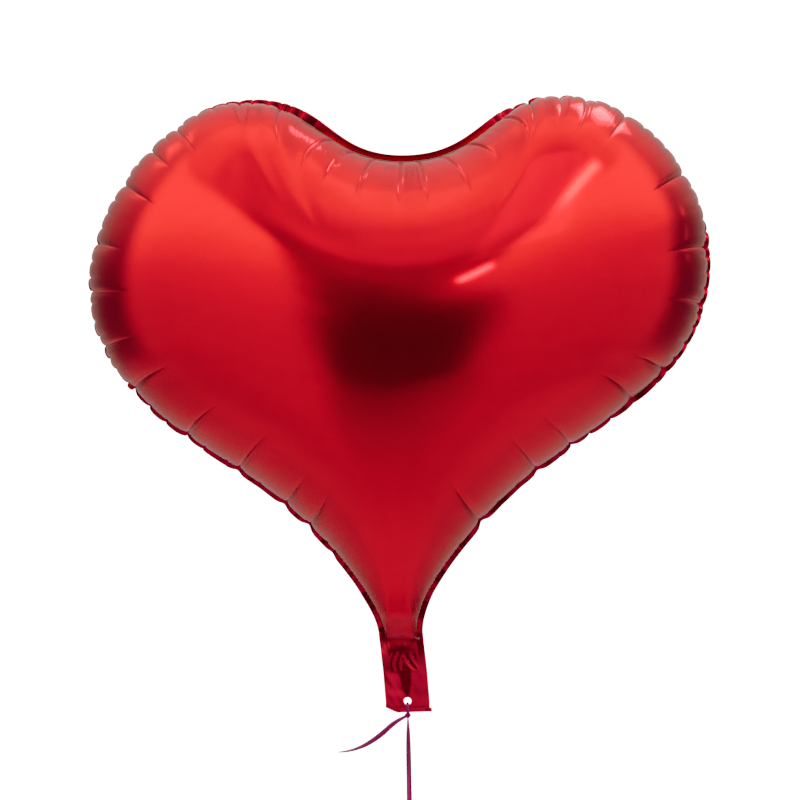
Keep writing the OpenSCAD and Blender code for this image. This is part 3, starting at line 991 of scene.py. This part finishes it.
def make_world():
    """A white studio. What the camera sees is plain white, and what the film mirrors is the studio's
    white side screens, its ceiling light, its dark middle and its dark far corners."""
    world = bpy.data.worlds.new("studio")
    bpy.context.scene.world = world
    world.use_nodes = True
    tree = world.node_tree
    tree.nodes.clear()

    def node(kind, inputs=(), **settings):
        return add_node(tree, kind, inputs, **settings)

    def calc(operation, *values):
        return node("Math", dict(enumerate(values)), operation=operation).outputs[0]

    def plus(a, b):
        return calc("ADD", a, b)

    def minus(a, b):
        return calc("SUBTRACT", a, b)

    def times(a, b):
        return calc("MULTIPLY", a, b)

    def step(value, low, high):
        return node("MapRange", {"Value": value, "From Min": low, "From Max": high},
                    interpolation_type="SMOOTHSTEP").outputs["Result"]

    def blend(factor, a, b):
        return node("Mix", {"Factor": factor, "A": a, "B": b}, data_type="FLOAT").outputs["Result"]

    def along(axis):
        """How far the direction that is mirrored goes along axis."""
        return node("VectorMath", {0: direction, 1: axis}, operation="DOT_PRODUCT").outputs["Value"]

    def curve(value, *stops):
        """A line through (value, result) stops. Results go up to 4."""
        low, high, most = stops[0][0], stops[-1][0], 4.0
        share = node("MapRange", {"Value": value, "From Min": low, "From Max": high}).outputs["Result"]
        ramp = node("ValToRGB", {"Fac": share})
        elements = ramp.color_ramp.elements
        while len(elements) < len(stops):
            elements.new(0.5)
        for element, (at, result) in zip(elements, stops):
            element.position = (at - low) / (high - low)
            element.color = (result / most,) * 3 + (1,)
        return times(ramp.outputs["Color"], most)

    def lamp(at, up, wide, tall, turned, edge):
        """1 inside a rectangle of wide by tall degrees, seen at azimuth at and elevation up, and turned
        clockwise. Its edge is soft over edge degrees to each side."""
        a, e, t = math.radians(at), math.radians(up), math.radians(turned)
        ahead = Vector((math.sin(a) * math.cos(e), -math.cos(a) * math.cos(e), math.sin(e)))
        level_side = Vector((math.cos(a), math.sin(a), 0))
        over = level_side.cross(ahead) * (-1 if level_side.cross(ahead).z < 0 else 1)
        right = level_side * math.cos(t) - over * math.sin(t)
        over = over * math.cos(t) + level_side * math.sin(t)
        parts = []
        for axis, size in ((right, wide), (over, tall)):
            off = times(calc("ABSOLUTE", along(axis)), degrees)
            parts.append(minus(1.0, step(off, size / 2 - edge, size / 2 + edge)))
        return times(times(*parts), step(along(ahead), 0.3, 0.4))

    direction = node("TexCoord").outputs["Generated"]
    x, y, z = node("SeparateXYZ", {0: direction}).outputs
    degrees = 180 / math.pi
    azimuth = times(calc("ARCTAN2", x, times(y, -1.0)), degrees)
    side = calc("ABSOLUTE", azimuth)
    elevation = times(calc("ARCSINE", z), degrees)

    screen_glow = curve(elevation, (-45, 0.53), (-30, 0.61), (-12, 0.68), (0, 0.77), (10, 0.92), (18, 1.20),
                        (26, 1.70), (36, 1.9))
    screen_glow = times(screen_glow, blend(step(azimuth, -4, 4), 1.0, 0.93))
    screen_glow = times(screen_glow, blend(step(azimuth, -50, -20), 0.92, 1.0))
    ceiling = curve(elevation, (28, 0.36), (36, 0.48), (44, 0.50), (48, 0.57), (52, 0.67), (60, 0.96),
                    (66, 1.15), (72, 1.35), (85, 1.15))
    off_centre = blend(step(elevation, 44, 64), 2.0, 1.15)
    ceiling = times(ceiling, blend(step(side, 0, 38), 1.0, off_centre))
    ceiling = times(ceiling, blend(step(azimuth, 40, 80), 1.0, 1.25))
    low_middle = times(minus(step(azimuth, -22, -10), step(azimuth, 4, 11)),
                       minus(step(elevation, 28, 34), step(elevation, 46, 56)))
    ceiling = times(ceiling, blend(low_middle, 1.0, 1.44))
    floor_glow = curve(elevation, (-60, 0.64), (-46, 0.57), (-36, 0.49), (-28, 0.39), (-20, 0.23),
                       (-18, 0.09))
    flank_glow = curve(elevation, (-60, 0.56), (-44, 0.48), (-36, 0.37), (-28, 0.21), (-10, 0.14), (2, 0.17),
                       (12, 0.25), (22, 0.40), (32, 0.60), (42, 0.76), (56, 0.88), (70, 1.1))
    behind = curve(elevation, (-60, 0.48), (-40, 0.44), (-26, 0.36), (-10, 0.24), (4, 0.22), (24, 0.42),
                   (60, 0.9))

    inner = curve(elevation, (-60, 3.2), (-36, 2.85), (-18, 1.55), (0, 1.0), (8, 0.66), (14, 0.42),
                  (22, 0.32), (30, 0.26), (36, 0.2))
    inner = times(inner, blend(step(azimuth, -2, 2), 9.6, 10.2))
    leaning = times(step(elevation, 4, 12), minus(1.6, step(elevation, 18, 27)))
    off_middle = calc("ABSOLUTE", plus(azimuth, leaning))
    inside = step(minus(off_middle, inner), -1.2, 2.2)
    top_edge = plus(25.5, times(side, 0.36))
    below_top = minus(1.0, step(minus(elevation, top_edge), -1.5, 2.5))
    above_floor = step(elevation, -46, -38)
    screen = times(times(inside, below_top), above_floor)

    gap_glow = curve(elevation, (-18, 0.10), (-4, 0.075), (6, 0.09), (14, 0.13), (20, 0.17), (26, 0.25),
                     (30, 0.32), (36, 0.45))
    middle = blend(step(elevation, -19, -17), floor_glow, blend(step(elevation, 28, 34), gap_glow, ceiling))
    level = blend(screen, middle, screen_glow)
    level = blend(step(plus(side, blend(step(azimuth, -5, 5), 5.0, 0.0)), 66, 90), level, flank_glow)
    level = blend(step(side, 105, 155), level, behind)
    level = blend(step(side, 170, 178), level, 0.6)
    for place, size, turned, edge, glow in LAMPS:
        level = blend(lamp(*place, *size, turned, edge), level, glow)
    final = times(level, 1.03)

    seen = node("LightPath").outputs["Is Camera Ray"]
    warmth = times(step(final, 0.7, 1.4), minus(1.0, seen))
    background = node("Background", {"Color": mix_colours(tree, warmth, (1, 1, 1), (1, 1.08, 0.80)),
                                     "Strength": blend(seen, final, WHITE)})
    node("OutputWorld", {"Surface": background.outputs[0]})


def area_light(name, place, aim, size, power, turned=0):
    data = bpy.data.lights.new(name, "AREA")
    data.shape = "RECTANGLE"
    data.size, data.size_y = size
    data.energy = power
    light = bpy.data.objects.new(name, data)
    bpy.context.scene.collection.objects.link(light)
    light.location = place
    light.rotation_mode = "QUATERNION"
    facing = (Vector(aim) - Vector(place)).to_track_quat("-Z", "Y")
    light.rotation_quaternion = facing @ Quaternion((0, 0, 1), math.radians(turned))
    light.visible_camera = False


def make_floor():
    corners = [(x * FLOOR_HALF / MM, y * FLOOR_HALF / MM, FLOOR_Z / MM)
               for x, y in ((-1, -1), (1, -1), (1, 1), (-1, 1))]
    floor = new_mesh("floor", corners, [(0, 1, 2, 3)])
    floor.data.materials.append(material("floor_paper", (0.88, 0.83, 0.96), 0.0, 0.7)[0])
    floor.visible_glossy = False


def set_tone():
    """A camera's soft shoulder and toe, so that bright red doesn't clip and deep red stays clean."""
    view = bpy.context.scene.view_settings
    view.view_transform = "Standard"
    view.use_curve_mapping = True
    mapping = view.curve_mapping
    shoulder = ((0, 0), (0.05, 0.05), (0.7, 0.66), (0.95, 0.82), (1.12, 0.875), (1.35, 0.94), (WHITE, 1))
    green = ((0, 0), (0.012, 0.001), (0.018, 0.006), (0.026, 0.02), (0.036, 0.036), (1, 1))
    blue = ((0, 0), (0.005, 0.0025), (0.013, 0.0075), (0.02, 0.0145), (0.032, 0.03), (0.04, 0.04), (1, 1))
    mapping.white_level = (WHITE,) * 3
    for curve, stops, scale in ((mapping.curves[3], shoulder, WHITE), (mapping.curves[1], green, 1),
                                (mapping.curves[2], blue, 1)):
        for x, y in stops[1:-1]:
            curve.points.new(x / scale, y)
        for point in curve.points:
            point.handle_type = "VECTOR"
    mapping.update()


# ---- build ----

build_ribbon()
foil = foil_material()
front = foil_piece("front_foil", -1, 11, foil, ["front_panel", "tail_front_film"])
back = foil_piece("back_foil", 1, 23, foil, ["back_panel", "tail_back_film"])
seal = new_mesh("heat_seal_edge", *joined(seal_band(), tail_seals()))
seal.data.materials.append(seal_material())
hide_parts("perimeter_seal", "tail_side_seal_left", "tail_side_seal_right", "tail_end_seal")
for piece in (front, back, seal):
    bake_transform(piece)

build_valve()

make_world()
make_floor()
for name, *light in (
        ("right_lobe_light", (0.27, 0.02, 0.75), (0.20, -0.045, 0.553), (0.10, 0.07), 0.15),
        ("right_lobe_fill", (0.27, 0.02, 0.75), (0.20, -0.045, 0.553), (0.16, 0.12), 0.18),
        ("right_valley_fill", (0.1435, -0.289, 0.628), (0.140, -0.089, 0.478), (0.17, 0.22), 0.038),
        ("left_lobe_light", (-0.031, -0.005, 0.637), (-0.085, -0.043, 0.536), (0.022, 0.022), 0.006),
        ("strip_light", (0.074, -0.2005, 0.439), (0.070, -0.1065, 0.405), (0.036, 0.008), 0.0075, 27)):
    area_light(name, *light)
set_tone()
